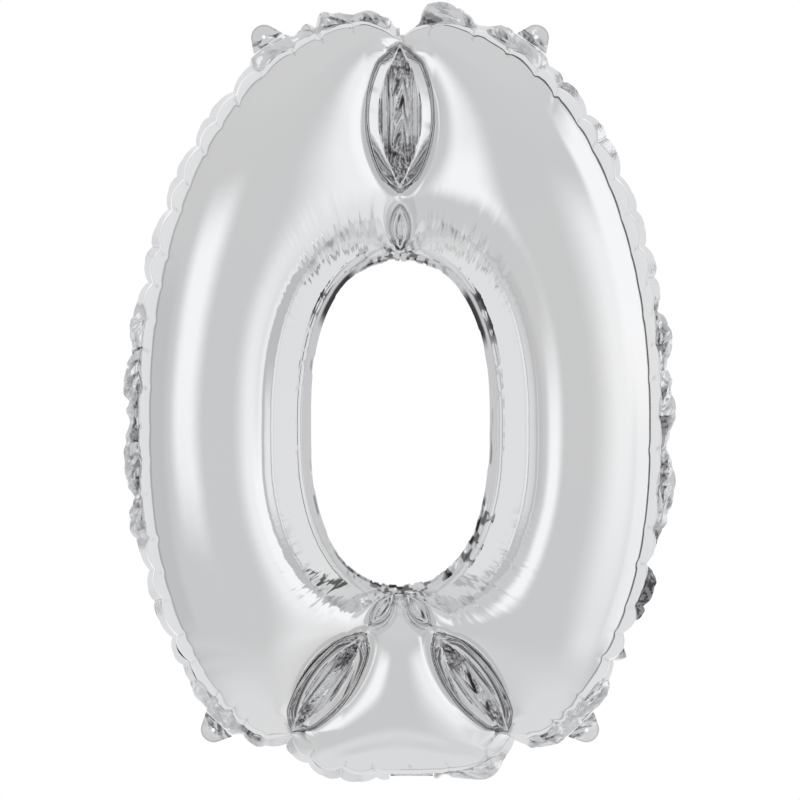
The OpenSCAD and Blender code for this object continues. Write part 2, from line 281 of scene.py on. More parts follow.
class Facets(Noise):
    """Flat triangles over a jittered lattice, as in crumpled foil, about -1 to 1 at every corner."""

    def __init__(self, seed):
        super().__init__(seed)
        self.warp = Noise(seed + 500)

    def __call__(self, x, y):
        i, j, u, v = self.place(x, y)
        a, b, c, d = (self.lattice([i + p, j + q]) for p, q in ((0, 0), (1, 0), (0, 1), (1, 1)))
        lower = a + u * (b - a) + v * (c - a)
        upper = d + (1 - u) * (c - d) + (1 - v) * (b - d)
        return np.where(u + v < 1, lower, upper)

    def place(self, x, y):
        """Cell of the jittered lattice and the place inside it."""
        x, y = np.broadcast_arrays(x, y)
        x, y = x + 0.35 * self.warp(x, y) + 0.4 * y, y + 0.35 * self.warp(y + 7, x)
        i, j = np.floor(x), np.floor(y)
        return i, j, x - i, y - j

    def patch(self, x, y):
        """One value for each whole triangle, -1 to 1."""
        i, j, u, v = self.place(x, y)
        return self.lattice([i, j, np.where(u + v < 1, 3.0, 8.0)])


def smooth(x, a, b):
    """0 up to a, 1 from b on, and a soft step between them."""
    x = np.clip((x - a) / (b - a), 0, 1)
    return x * x * (3 - 2 * x)


def near(t, centre, width):
    """1 at an outline angle, falling off as a bell of that width."""
    return np.exp(-(turn(t, centre) / width) ** 2)


def stretch(t, centre, half, soft):
    """1 within half a width of an outline angle, fading to 0 over soft degrees."""
    return smooth(-np.abs(turn(t, centre)), -half - soft, -half)


def to_world(points):
    """From millimetres about the ring's centre (x, y, z) to the frame's metres."""
    p = np.array(points, float)
    p[..., 2] += CENTRE_Z
    return p * MM


def make_piece(name, points, quads, dark, replaces, slot, body="balloon"):
    """A mesh piece; dark says from 0 to 1 how much painted shade darkens the foil at each point."""
    used, inverse = np.unique(quads, return_inverse=True)
    verts = points[used]
    quads = inverse.reshape(quads.shape)
    mesh = bpy.data.meshes.new(name)
    mesh.from_pydata(verts.tolist(), [], quads.tolist())
    mesh.validate()
    mesh.polygons.foreach_set("use_smooth", np.ones(len(mesh.polygons), bool))
    obj = bpy.data.objects.new(name, mesh)
    bpy.context.scene.collection.objects.link(obj)
    mesh.materials.append(MATERIALS[slot])
    # the painted shade is stored per point for the foil materials
    crease = mesh.attributes.new("crease", 'FLOAT', 'POINT')
    crease.data.foreach_set("value", np.clip(dark, 0, 1).ravel()[used].astype(np.float32))
    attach(obj, body)
    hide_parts(*replaces)


def grid_quads(nu, nv, closed=False):
    """Faces of a grid of nu by nv points, closed round in its first direction if asked."""
    u = np.arange(nu if closed else nu - 1)
    v = np.arange(nv - 1)
    a = (u[:, None] * nv + v[None]).ravel()
    b = (((u + 1) % nu)[:, None] * nv + v[None]).ravel()
    return np.stack([a, a + 1, b + 1, b], -1)


# ---------------------------------------------------------------- materials


def new_material(name):
    mat = bpy.data.materials.new(name)
    mat.use_nodes = True
    return mat, mat.node_tree, mat.node_tree.nodes["Principled BSDF"]


def noise_node(tree, scale, detail, rough=0.5):
    coord = tree.nodes.new("ShaderNodeTexCoord")
    node = tree.nodes.new("ShaderNodeTexNoise")
    node.inputs["Scale"].default_value = scale
    node.inputs["Detail"].default_value = detail
    node.inputs["Roughness"].default_value = rough
    tree.links.new(coord.outputs["Object"], node.inputs["Vector"])
    return node


def ramp(tree, source, low, high):
    """Spreads a value of 0 to 1 from low to high."""
    node = tree.nodes.new("ShaderNodeMapRange")
    node.inputs["To Min"].default_value = low
    node.inputs["To Max"].default_value = high
    tree.links.new(source, node.inputs["Value"])
    return node.outputs["Result"]


def crease_mix(tree, foil_colour, shade_tint):
    """Colour that goes from the foil's own tint to a near-black painted shade with the piece's painted-shade
    value.
    """
    attribute = tree.nodes.new("ShaderNodeAttribute")
    attribute.attribute_name = "crease"
    blend = tree.nodes.new("ShaderNodeMix")
    blend.data_type = 'RGBA'
    blend.inputs["B"].default_value = shade_tint
    tree.links.new(attribute.outputs["Fac"], blend.inputs["Factor"])
    tree.links.new(foil_colour, blend.inputs["A"])
    return blend.outputs["Result"]


# near-black colour of the painted shade, standing in for dark reflections in folds and crumples
PAINTED_SHADE_TINT = (0.03, 0.03, 0.034, 1)


def foil(name, tints, roughness, rough_scale, bump_strength, bump_distance, bump_scale):
    """Mirror foil: a faint change of tint, painted shade from the piece's point values, a range of roughness
    and a fine grain.
    """
    mat, tree, bsdf = new_material(name)
    bsdf.inputs["Metallic"].default_value = 1.0
    tint = tree.nodes.new("ShaderNodeValToRGB")
    tint.color_ramp.elements[0].color = tints[0]
    tint.color_ramp.elements[1].color = tints[1]
    tree.links.new(noise_node(tree, 14, 2).outputs["Fac"], tint.inputs["Fac"])
    tree.links.new(crease_mix(tree, tint.outputs["Color"], PAINTED_SHADE_TINT), bsdf.inputs["Base Color"])
    wear = noise_node(tree, rough_scale, 3).outputs["Fac"]
    tree.links.new(ramp(tree, wear, *roughness), bsdf.inputs["Roughness"])
    bump = tree.nodes.new("ShaderNodeBump")
    bump.inputs["Strength"].default_value = bump_strength
    bump.inputs["Distance"].default_value = bump_distance
    tree.links.new(noise_node(tree, bump_scale, 2).outputs["Fac"], bump.inputs["Height"])
    tree.links.new(bump.outputs["Normal"], bsdf.inputs["Normal"])
    return mat


def clear_film():
    mat, tree, bsdf = new_material("clear_film")
    bsdf.inputs["Base Color"].default_value = (0.93, 0.95, 0.96, 1)
    bsdf.inputs["Alpha"].default_value = 0.4
    tree.links.new(ramp(tree, noise_node(tree, 90, 3).outputs["Fac"], 0.12, 0.3), bsdf.inputs["Roughness"])
    return mat


MATERIALS = {
    "silver_foil": foil("silver_foil", ((0.845, 0.85, 0.86, 1), (0.895, 0.89, 0.885, 1)),
                        roughness=(0.03, 0.07), rough_scale=30,
                        bump_strength=0.1, bump_distance=0.0002, bump_scale=160),
    "fused_foil": foil("fused_foil", ((0.83, 0.83, 0.845, 1), (0.88, 0.88, 0.88, 1)),
                       roughness=(0.05, 0.16), rough_scale=220,
                       bump_strength=0.3, bump_distance=0.0003, bump_scale=900),
    "clear_film": clear_film(),
}

# ---------------------------------------------------------------- outer seam with its puckers

# Outline angles of the tabs and of the neck, in degrees clockwise from the top.
TABS = {"upper_left": 334.0, "upper_right": 26.0, "lower_left": 217.0, "lower_right": 143.0}
NECK_T, NECK_HALF_T = 178.1, 3.2


def outer_normal(t):
    """Unit direction out of the ring, square to the outer seam."""
    d = outer_at(t + 0.3) - outer_at(t - 0.3)
    d = d / np.linalg.norm(d, axis=-1, keepdims=True)
    return np.stack([-d[..., 1], d[..., 0]], -1)


# arc length along the outer seam as a function of its angle
arc_t = np.linspace(0, 360, 7201)
arc_s = np.r_[0, np.cumsum(np.linalg.norm(np.diff(outer_at(arc_t), axis=0), axis=1))]
OUTER_LEN = arc_s[-1]


def arc_of(t):
    return np.interp(t, arc_t, arc_s)


# folds of the seam about every 15 mm, with one beside each end of a tab's root
FOLD_GAP = (12.5, 17.5)
LAST_GAP, TAB_GAP = 8.0, 8.0
folds = [0.0]
while folds[-1] < OUTER_LEN - LAST_GAP:
    folds.append(folds[-1] + rng.uniform(*FOLD_GAP))
folds = np.array(folds[:-1] + [OUTER_LEN])
for angle in TABS.values():
    for step in (-1, 1):
        edge = arc_of(angle) + step * TAB_GAP
        folds[np.abs(folds - edge).argmin()] = edge
# how deep, how slanted and how long each fold's crease is, how far the seam is pulled sideways there, and how
# far it swells out after the fold
N_FOLD = len(folds)
fold_depth = rng.uniform(0.5, 1.0, N_FOLD)
fold_slant = rng.uniform(-2.5, 2.5, N_FOLD)
fold_reach = rng.uniform(0.3, 0.6, N_FOLD)
fold_back = rng.uniform(-1, 1, N_FOLD)
swell = rng.uniform(0.7, 1.15, N_FOLD)
for array in (fold_depth, fold_slant, fold_reach, fold_back):
    array[-1] = array[0]


def tab_share(t):
    """Where a tab leaves the margin, which lies flat there."""
    return np.maximum.reduce([stretch(t, a, 3.0, 2.5) for a in TABS.values()])


def neck_share(t):
    """Where the neck leaves the seam: the seam runs straight and has no margin."""
    return stretch(t, NECK_T, NECK_HALF_T, 1.2)


# Stretches of the margin that stand out flat and crumpled: outline angle, half its length and softness.
CRUSHED = ((89, 12, 4), (269.5, 12, 4),
           (8.5, 4, 3), (351, 4.5, 3), (20, 1.5, 2), (340, 1.5, 2),
           (169, 5, 2), (137, 3, 2), (150, 2.5, 2), (211, 2, 2), (224, 1.5, 2))


def crushed(t):
    return np.maximum.reduce([stretch(t, *place) for place in CRUSHED])


def ribbon(t):
    """Where the margin is twisted into a ribbon that is painted dark as shade."""
    return np.maximum(stretch(t, 115, 10, 4), 0.8 * stretch(t, 2.5, 1.5, 2))


SWELL, CRUSHED_LOSS, SIDE_PULL = 2.7, 2.0, 0.9


def scallop(t):
    """Outward swell of the seam between folds, the place from one fold to the next, and the fold before."""
    s = arc_of(t)
    k = np.clip(np.searchsorted(folds, s, side="right") - 1, 0, N_FOLD - 2)
    x = np.clip((s - folds[k]) / (folds[k + 1] - folds[k]), 0, 1)
    amp = swell[k] * (SWELL - CRUSHED_LOSS * crushed(t)) * (1 - neck_share(t))
    return amp * (np.sin(np.pi * x) ** 0.7 - 0.5), x, k


def seam_at(t):
    """The welded line itself, pulled in and sideways at every fold."""
    bulge, x, k = scallop(t)
    p = outer_at(t) + outer_normal(t) * bulge[..., None]
    pull = np.where(x < 0.5, fold_back[k], fold_back[k + 1]) * np.cos(np.pi * x) ** 6
    return np.stack([p[..., 0], SIDE_PULL * pull * (1 - neck_share(t)), p[..., 1]], -1)


# ---------------------------------------------------------------- panels

phi = (np.pi * rows / ROWS)[None]
lobes = 1 - 0.2 * near(out_t, 0, 36) - 0.12 * near(out_t, 157.5, 22) - 0.12 * near(out_t, 202.5, 22)
lobes = np.repeat(lobes[:, None], ROWS + 1, 1)
# the bottom chamber is fullest near the hole and slopes down to the seam
lobes[chamber == 1] = 1.02 - 0.34 * np.cos(phi)
height = height * lobes

# length along the inner seam, and how near a column is to the hole's rounded ends
inner_run = np.r_[0, np.cumsum(np.linalg.norm(np.diff(inner_at(in_t), axis=0), axis=1))][:, None]
HOLE_ENDS = ((28, 26), (332, 26), (148, 24), (212, 24))
hole_ends = np.maximum.reduce([near(in_t, *end) for end in HOLE_ENDS])[:, None]

SEAM_FADE = 0.27
WALL_W, WALL_PHI, LIP_W = 11.8, math.radians(37), 0.9
WALL_END, WIDEST_TUBE = 1.5, 36.0


def follow_seam(p):
    """The wall at the outer seam follows the seam's puckers."""
    straight = outer_at(out_t)
    shift = seam_at(out_t) - np.stack([straight[:, 0], np.zeros(NC), straight[:, 1]], -1)
    p += shift[:, None, :] * np.exp(-(phi / SEAM_FADE) ** 2)[..., None]


def wall_shift(back_phi, half_w, reach):
    """How far the wall round the hole stands out from a round section; back_phi runs from the inner seam."""
    straight = reach * np.sin(back_phi) / math.sin(WALL_PHI) - half_w * (1 - np.cos(back_phi))
    full = reach - half_w * (1 - math.cos(WALL_PHI))
    easing = full * (1 - smooth(back_phi, WALL_PHI, WALL_END))
    lip = LIP_W * smooth(back_phi, 0, 0.05) * (1 - smooth(back_phi, 0.5, WALL_END))
    return np.where(back_phi < WALL_PHI, straight, easing) + lip


def build_wall(p, n1, n2):
    """The straight wall round the hole, with a jagged upper border at the hole's ends."""
    jagged = 0.3 * hole_ends * (n1(inner_run / 2.2, inner_run * 0) + n2(inner_run / 1.1, inner_run * 0))
    half_w = np.linalg.norm(flat[:, 0] - flat[:, -1], axis=-1)[:, None] / 2
    outward = (flat[:, 0] - flat[:, -1]) / (2 * half_w)
    beside = np.minimum.reduce([np.abs(turn(in_t, d[1])) for d in DIVIDERS])[:, None]
    amount = wall_shift(np.pi - phi, np.minimum(half_w, WIDEST_TUBE), WALL_W + jagged)
    amount *= smooth(beside, 1.0, 9.0)
    p[..., 0] += outward[:, None, 0] * amount
    p[..., 2] += outward[:, None, 1] * amount


SHELF_W, SHELF_RISE, FOLD_H, FACE_LEAN = (4.4, 3.2, 3.2), 0.47, 8.0, 0.12
SHELF_REACH = 11.0
SHELF_ROWS = smooth(rows, 4, 10) * (1 - smooth(rows, 38, 42))


def shelf(p, d):
    """Beside a divider weld the foil lies as a narrow shelf; the tube rises from a sharp fold at its edge.

    Gives the sideways shift of every point and how much it belongs to the fold's steep face."""
    inner, outer = inner_at(DIVIDERS[d][1]), outer_at(DIVIDERS[d][0])
    lat, lon = divider_coords(p, d, inner)
    place = lon / np.linalg.norm(outer - inner)
    high = np.abs(p[..., 1])
    top, low = share[WELD_ROWS[0]], share[WELD_ROWS[1]]
    bow = np.sin(np.pi * np.clip((top - place) / (top - low), 0, 1))
    wide = SHELF_W[d] * smooth(bow, 0.0, 0.45)
    rise = SHELF_RISE * wide
    target = np.where(high < rise, high / SHELF_RISE, wide + (high - rise) * FACE_LEAN)
    aside = np.abs(lat) - WELD_HALF_W[d] * bow ** ALMOND_POWER
    belongs = smooth(bow, 0.02, 0.25) * SHELF_ROWS * (aside > -0.01) * (aside < SHELF_REACH)
    shift = (target - aside) * belongs * (1 - smooth(high, FOLD_H, FOLD_H + 5)) * np.sign(lat)
    face = belongs * smooth(high, rise + 0.6, rise + 1.6) * (1 - smooth(high, FOLD_H - 2.0, FOLD_H))
    across = divider_frame(d)[1]
    return np.stack([shift * across[0], np.zeros(lat.shape), shift * across[1]], -1), face


def outward_normals(p, side):
    n = np.cross(np.gradient(p, axis=0), np.gradient(p, axis=1))
    n /= np.maximum(np.linalg.norm(n, axis=-1, keepdims=True), 1e-9)
    return n * np.sign(n[..., 1:2] * side + 1e-12)


# Each of the next four presses creases into the points p along the normals n, and gives values of painted
# shade for them.


def seam_creases(p, n, n1):
    """Short creases that run up from each fold of the outer seam, with painted shade along them."""
    s = arc_of(out_t)[:, None]
    groove, dark = np.zeros((2, NC, ROWS + 1))
    for i in range(N_FOLD):
        off = s - folds[i] - fold_slant[i] * phi * 2 - 0.5 * n1(phi * 9, phi * 0 + i)
        groove += fold_depth[i] * np.exp(-(off / (0.5 + 1.5 * phi)) ** 2 - (phi / fold_reach[i]) ** 4)
        dark += 0.3 * fold_depth[i] * np.exp(-(off / 0.35) ** 2) * (np.abs(phi - 0.28) < 0.22)
    groove *= 1 - neck_share(out_t)[:, None]
    p -= n * (0.55 * groove * np.sin(np.clip(phi, 0, 0.5) * np.pi))[..., None]
    return dark


def wall_ruffles(p, n, n1, n2):
    """Fine ruffles that run up the wall, with a fringe of painted shade along its upper border."""
    up = (np.pi - phi) / WALL_PHI
    wall = smooth(up, 0.08, 0.3) * (1 - smooth(up, 0.9, 1.04))
    phase = inner_run / 1.5 + 0.8 * n2(inner_run / 4, up * 1.3 + 9)
    wave = np.sin(2 * np.pi * phase)
    wave += 0.7 * n2(inner_run / 0.8, up * 2.5) + 0.6 * n1(inner_run / 2.6, up * 1.5)
    p += n * (wave * wall * (0.032 * hole_ends + 0.003))[..., None]
    fringe = smooth(up, 0.55, 0.95) * (1 - smooth(up, 1.0, 1.06))
    strokes = smooth(n1(inner_run / 0.7, up * 3) + 0.5 * n2(inner_run / 1.7, up * 2), 0.1, 0.7)
    return 0.4 * hole_ends * fringe * strokes


def hole_knots(p, n, facets, n2):
    """Crushed foil where the divider welds reach the hole, speckled with painted shade."""
    knots = np.maximum.reduce([near(in_t, t, 7) for t in (0, 174, 186)])[:, None] * smooth(phi, 2.55, 2.8)
    p += n * (0.7 * knots * facets(p[..., 0] / 2.2, p[..., 2] / 2.2))[..., None]
    return 0.7 * knots * smooth(n2(p[..., 0] / 1.3, p[..., 2] / 1.3), 0.0, 0.5)


RIM_W = 7.0
CROSS_H, STREAK_H = 0.02, (0.03, 0.01, 0.01)


def weld_rim(p, n, d, n1, n2):
    """The rim of a divider weld: streaks along it and short creases across, with painted shade in the short
    creases.
    """
    mid = (outer_at(DIVIDERS[d][0]) + inner_at(DIVIDERS[d][1])) / 2
    lat, lon = divider_coords(p, d, mid)
    rim = np.exp(-(lat / (WELD_HALF_W[d] + RIM_W)) ** 4) * smooth(-np.abs(lon), -50, -38)
    cross = n1(lon / 1.1, lat / 9) + 0.6 * n2(lon / 0.6, lat / 5)
    streaks = n2(lat / 0.9, lon / 14) + 0.5 * n1(lat / 0.45, lon / 9)
    low = smooth(height, 0.0, 0.8) * (1 - smooth(height, 4.0, 9.0))
    p += n * ((cross * CROSS_H + streaks * STREAK_H[d]) * rim * low)[..., None]
    short = smooth(n2(lon / 0.9, lat / 7), 0.35, 0.7) * smooth(n1(lon / 8, lat / 8), -0.1, 0.3)
    return 0.5 * short * rim * smooth(height, 0.2, 0.8) * (1 - smooth(height, 1.6, 2.6)) * in_weld


# Soft creases of the stretched front foil: x, z, angle, length, width and depth.
DIMPLES = ((-91, -97, 0.25, 16, 3.5, 0.5), (-86, -106, 0.45, 12, 3.0, 0.35), (78, 116, -0.9, 20, 5, 0.25),
           (0, -133, 0, 26, 2.6, 0.35), (-24, -138, 0.35, 16, 2.4, 0.3), (26, -137, -0.3, 16, 2.4, 0.3))


def dent(x, z, cx, cz, angle, long, wide, depth):
    """Depth of a slightly bent, elongated hollow."""
    u = (x - cx) * math.cos(angle) + (z - cz) * math.sin(angle)
    v = (z - cz) * math.cos(angle) - (x - cx) * math.sin(angle) + u * u / 90
    return depth * np.exp(-(u / long) ** 2 - (v / wide) ** 2)


def panel(side, seed):
    """Grid points of one panel and their crease values; side is -1 for the front and 1 for the back."""
    n1, n2 = Noise(seed), Noise(seed + 1)
    p = np.stack([flat[..., 0], side * height, flat[..., 1]], -1)
    follow_seam(p)
    build_wall(p, n1, n2)
    faces = np.zeros((NC, ROWS + 1))
    for d in range(3):
        shift, face = shelf(p, d)
        p += shift
        faces = np.maximum(faces, face)
    n = outward_normals(p, side)
    # painted shade: the steep faces beside the welds and the marks of the presses below darken the foil's
    # colour
    dark = 0.8 * faces + seam_creases(p, n, n1)
    dark += wall_ruffles(p, n, n1, n2)
    dark += hole_knots(p, n, Facets(seed + 2), n2)
    for d in range(3):
        dark += weld_rim(p, n, d, n1, n2)
    # faint waves and soft creases of stretched foil
    waves = 0.22 * np.sin(phi) * n1(p[..., 0] / 38, p[..., 1] / 38, p[..., 2] / 38)
    hollow = sum(dent(p[..., 0], p[..., 2], *d) for d in DIMPLES) if side < 0 else 0
    p += n * (waves - hollow)[..., None]
    return p, dark


def flatten(values):
    """Values of the grid as one list, with the points that chambers share taken once."""
    out = np.zeros((NC * (ROWS + 1),) + values.shape[2:])
    out[ids.ravel()] = values.reshape((-1,) + values.shape[2:])
    return out


for place, side, seed in (("front", -1, 11), ("back", 1, 23)):
    points, dark = panel(side, seed)
    make_piece(f"{place}_panel", to_world(flatten(points)), quads[:, ::-side], flatten(dark),
               replaces=(f"{place}_foil_panel",), slot="silver_foil")

# ---------------------------------------------------------------- outer margin

N_EDGE, N_ACROSS = 2600, 20
# Degrees that the margin leans back behind the tube, and how many of them it loses where it is crushed and at
# the tops of the two lobes.
LEAN, CRUSHED_LEAN, TOPS_LEAN = 60, 28, 18


def margin_points():
    n1, n2, coarse, fine = Noise(41), Noise(43), Facets(45), Facets(47)
    t = np.interp(np.linspace(0, OUTER_LEN, N_EDGE, endpoint=False), arc_s, arc_t)
    across = np.linspace(0, 1, N_ACROSS)[None]
    seam = seam_at(t)
    bulge, x, k = scallop(t)
    normal = outer_normal(t)
    s = arc_of(t)[:, None]
    tab, twist = tab_share(t)[:, None], ribbon(t)[:, None]
    rough = np.maximum(crushed(t)[:, None], 0.75 * tab)
    tops = np.maximum(stretch(t, 8.5, 4, 3), 0.5 * stretch(t, 351, 4.5, 3))[:, None]
    # tucked back behind the tube, pleated at the folds, out flat where it is crushed or holds a tab
    degrees = LEAN - CRUSHED_LEAN * rough - TOPS_LEAN * tops + 7 * n1(s / 22, s * 0)
    lean = np.radians(degrees) * (1 - 0.9 * tab)
    pleat = (np.where(k % 2 == 0, 1, -1) * np.cos(np.pi * x))[:, None] * (0.12 + 0.3 * rough) * (1 - tab)
    curl = 1.1 * twist * np.sin(s / 5.5) + 0.3 * rough * n1(s / 6, across * 2 + 5) * across
    angle = lean + pleat + curl
    width = MARGIN_W * (0.9 + 0.25 * np.sin(np.pi * ((x + 0.5) % 1)) ** 0.6)[:, None] * (1 + 0.25 * tops)
    ragged = 0.5 * (1 - tab) * n2(s / 9, s * 0) * rough
    width = width * (1 - 0.35 * twist) + (MARGIN_W + 0.1 - width) * tab + ragged
    w = width * across
    out, back = w * np.cos(angle), w * np.sin(angle)
    # crumpled in large and small facets, but flat along a tab's root
    heft = np.maximum(rough, twist) * (1 - tab * (0.65 + 0.3 * smooth(across, 0.6, 0.9)))
    coarse_at, fine_at = (s / 6.0, w / 4.6), (s / 2.1, w / 1.9)
    crumple = (1.9 * coarse(*coarse_at) + 0.5 * fine(*fine_at)) * heft * np.minimum(w / 1.5, 1)
    out, back = out - crumple * np.sin(angle), back + crumple * np.cos(angle)
    out = out - bulge[:, None] * tab * across
    p = np.repeat(seam[:, None, :], N_ACROSS, 1)
    p[..., 0] += normal[:, None, 0] * out
    p[..., 2] += normal[:, None, 1] * out
    p[..., 1] += back
    # painted shade: dark patches on the crumpled facets, speckled, less towards the free edge, and the
    # twisted ribbon painted dark
    small = smooth(fine.patch(*fine_at), 0.3, 0.5) * smooth(n1(s / 6, w / 5), -0.2, 0.2)
    patch = np.maximum(smooth(coarse.patch(*coarse_at), 0.25, 0.4), 0.8 * small)
    speckle = smooth(n2(s / 1.2, w / 1.1) + 0.4 * n1(s / 0.6, w / 0.6), 0.05, 0.5)
    root = 1 - 0.75 * smooth(across, 0.35, 0.85)
    return p, np.maximum(heft * patch * (0.55 + 0.35 * speckle) * root, (0.62 + 0.3 * speckle) * twist)


# the margin is cut away where the neck leaves the seam
NECK_GAP = 0.3
points, dark = margin_points()
neck_lo, neck_hi = (v[0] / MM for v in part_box("neck_front_foil"))
x, z = points[..., 0], points[..., 2]
clear_of_neck = (x < neck_lo - NECK_GAP) | (x > neck_hi + NECK_GAP) | (z > 0)
margin_quads = grid_quads(N_EDGE, N_ACROSS, True)
margin_quads = margin_quads[clear_of_neck.ravel()[margin_quads].all(1)]
make_piece("outer_margin", to_world(points.reshape(-1, 3)), margin_quads, dark,
           replaces=("outer_seam_margin",), slot="fused_foil")

# ---------------------------------------------------------------- inner margin

N_INNER, IN_ACROSS = 1800, 12


def inner_margin_points():
    """A narrow band into the hole, crumpled at its ends and lower right with painted shade speckled there,
    and painted shade at its upper corners.
    """
    n1, crumple = Noise(57), Facets(59)
    t = np.linspace(0, 360, N_INNER, endpoint=False)
    edge = inner_at(t)
    inward = -edge / np.linalg.norm(edge, axis=1, keepdims=True)
    s = np.r_[0, np.cumsum(np.linalg.norm(np.diff(edge, axis=0), axis=1))][:, None]
    v = np.linspace(0, 1, IN_ACROSS)[None]
    ends = np.maximum(near(t, 0, 24), near(t, 180, 30))[:, None]
    right = stretch(t, 134, 18, 6)[:, None]
    shaded = np.maximum(stretch(t, 320, 10, 9), stretch(t, 52, 8, 8))[:, None]
    rough = np.maximum(ends, 0.7 * right) + 0.25
    nicks = 0.1 * smooth(n1(s / 9, s * 0), 0.0, 0.6) + 0.2 * ends * smooth(n1(s / 1.6, s * 0 + 4), 0.1, 0.5)
    w = INNER_MARGIN_W * v * (1 - nicks)
    p = np.zeros((N_INNER, IN_ACROSS, 3))
    p[..., 0] = edge[:, None, 0] + inward[:, None, 0] * w
    p[..., 2] = edge[:, None, 1] + inward[:, None, 1] * w
    p[..., 1] = v * rough * (0.9 * n1(s / 5.0, v) + 0.7 * crumple(s / 2.6, w / 2.2))
    # painted shade: speckles and strokes over the crumpled stretches, and a dark band at the upper corners
    speckle = smooth(n1(s / 1.7, w / 1.2 + 3), 0.15, 0.5)
    strokes = smooth(n1(s / 9, v * 0.8 + 9), 0.1, 0.4) * smooth(v, 0.55, 0.7) * (1 - smooth(v, 0.8, 0.92))
    painted_corner_shade = 0.95 * shaded * smooth(v, 0.25, 0.5)
    painted_crumple_shade = 0.6 * strokes + 0.8 * ends * speckle + 0.8 * right * smooth(n1(s / 3.5, v), -0.1, 0.3)
    return p, np.maximum(painted_corner_shade, painted_crumple_shade)


points, dark = inner_margin_points()
make_piece("inner_margin", to_world(points.reshape(-1, 3)), grid_quads(N_INNER, IN_ACROSS, True), dark,
           replaces=("inner_seam_margin",), slot="fused_foil")

# ---------------------------------------------------------------- divider welds

N_LON, N_LAT = 200, 61
PLEAT_W, CHEVRON_W, HEM_W, FULL_HALF_W = 3.4, 11.5, 1.8, 6.0


def weld_points(d, rows_ab, width, seed):
    """A fused patch: pleats along its sides, chevron folds down its middle, crushed foil at its ends, with
    painted shade in the pleats, the folds and the crushed foil.
    """
    n1, n2, facets = Noise(seed), Noise(seed + 3), Facets(seed + 6)
    a, b = rows_ab
    along = np.linspace(0, 1, N_LON)
    place = share[a] + (share[b] - share[a]) * (1 - np.cos(np.pi * along)) / 2
    f = (share[a] - place) / (share[a] - share[b])
    half = width * np.sin(np.pi * np.clip(f, 0, 1)) ** ALMOND_POWER
    inner, outer = inner_at(DIVIDERS[d][1]), outer_at(DIVIDERS[d][0])
    mid = inner + (outer - inner) * place[:, None]
    side = divider_frame(d)[1]
    lat = half[:, None] * np.linspace(-1, 1, N_LAT)[None]
    lon = (f * np.linalg.norm(mid[-1] - mid[0]))[:, None]
    f = f[:, None]
    hem = smooth(half[:, None] - np.abs(lat), 0.0, HEM_W)
    from_middle = np.abs(2 * f - 0.9)
    middle = np.clip(1 - from_middle ** 2.5, 0, 1)
    phase = 2 * np.pi * lat / PLEAT_W + 1.2 * n1(lon / 16, lat / 6)
    slant = np.where(lat < 1.2, 0.23 * (1.2 - lat), 0.5 * (lat - 1.2))
    chevron = 2 * np.abs((lon / CHEVRON_W + 0.15 * n1(lon / 7, lat / 5) - slant) % 1 - 0.5)
    core = np.exp(-(lat / (0.34 * width)) ** 4) * middle
    crush = 1.1 * facets(lat / 2.0, lon / 2.4) + 0.4 * n2(lat / 0.9, lon / 0.9)
    p = np.zeros((N_LON, N_LAT, 3))
    p[..., 0] = mid[:, None, 0] + side[0] * lat
    p[..., 2] = mid[:, None, 1] + side[1] * lat
    scale = min(1, width / FULL_HALF_W)
    pleats = 1.1 * np.cos(phase) * middle * (1 - core)
    p[..., 1] = hem * scale * (pleats + crush * (1.1 - 0.85 * middle) + 1.6 * core * chevron)
    # painted shade along the pleats, in the chevron folds and speckled over the crushed ends
    ends = smooth(from_middle, 0.28, 0.62)
    lines = smooth(np.cos(phase + 2.2), 0.45, 0.9) * middle
    speckle = smooth(n1(lat / 0.8, lon / 0.9) + 0.4 * n2(lat / 2.2, lon / 2.2), -0.05, 0.45)
    dark = 0.9 * lines * (1 - core) * smooth(n2(lat / 3, lon / 14), -0.35, 0.2)
    dark = np.maximum(dark, core * smooth(chevron, 0.62, 0.78) * smooth(n2(lon / 6, lat / 6), -0.5, -0.1))
    dark = np.maximum(dark, (0.35 + 0.5 * speckle) * ends)
    return p, dark * smooth(hem, 0.25, 0.8)


for d, place in enumerate(("top", "right", "left")):
    for tag, rows_ab, width, seed in (("divider", WELD_ROWS, WELD_HALF_W[d], 78 + 5 * d),
                                      ("divider_tip", TIP_ROWS, TIP_HALF_W, 82 + 5 * d)):
        points, dark = weld_points(d, rows_ab, width, seed)
        make_piece(f"{place}_{tag}", to_world(points.reshape(-1, 3)), grid_quads(N_LON, N_LAT), dark,
                   replaces=(f"{place}_{tag}_weld",), slot="fused_foil")

# ---------------------------------------------------------------- hanging tabs

# The crease lies outside the margin; the tab's root goes on a little below it.
TAB_R, TAB_REACH, TAB_ROOT_W, TAB_HOLE_R = 5.4, 3.4, 15.0, 0.8
CREASE, TAB_ROOT = 0.45, 0.25
N_ROUND, N_OUT = 160, 18


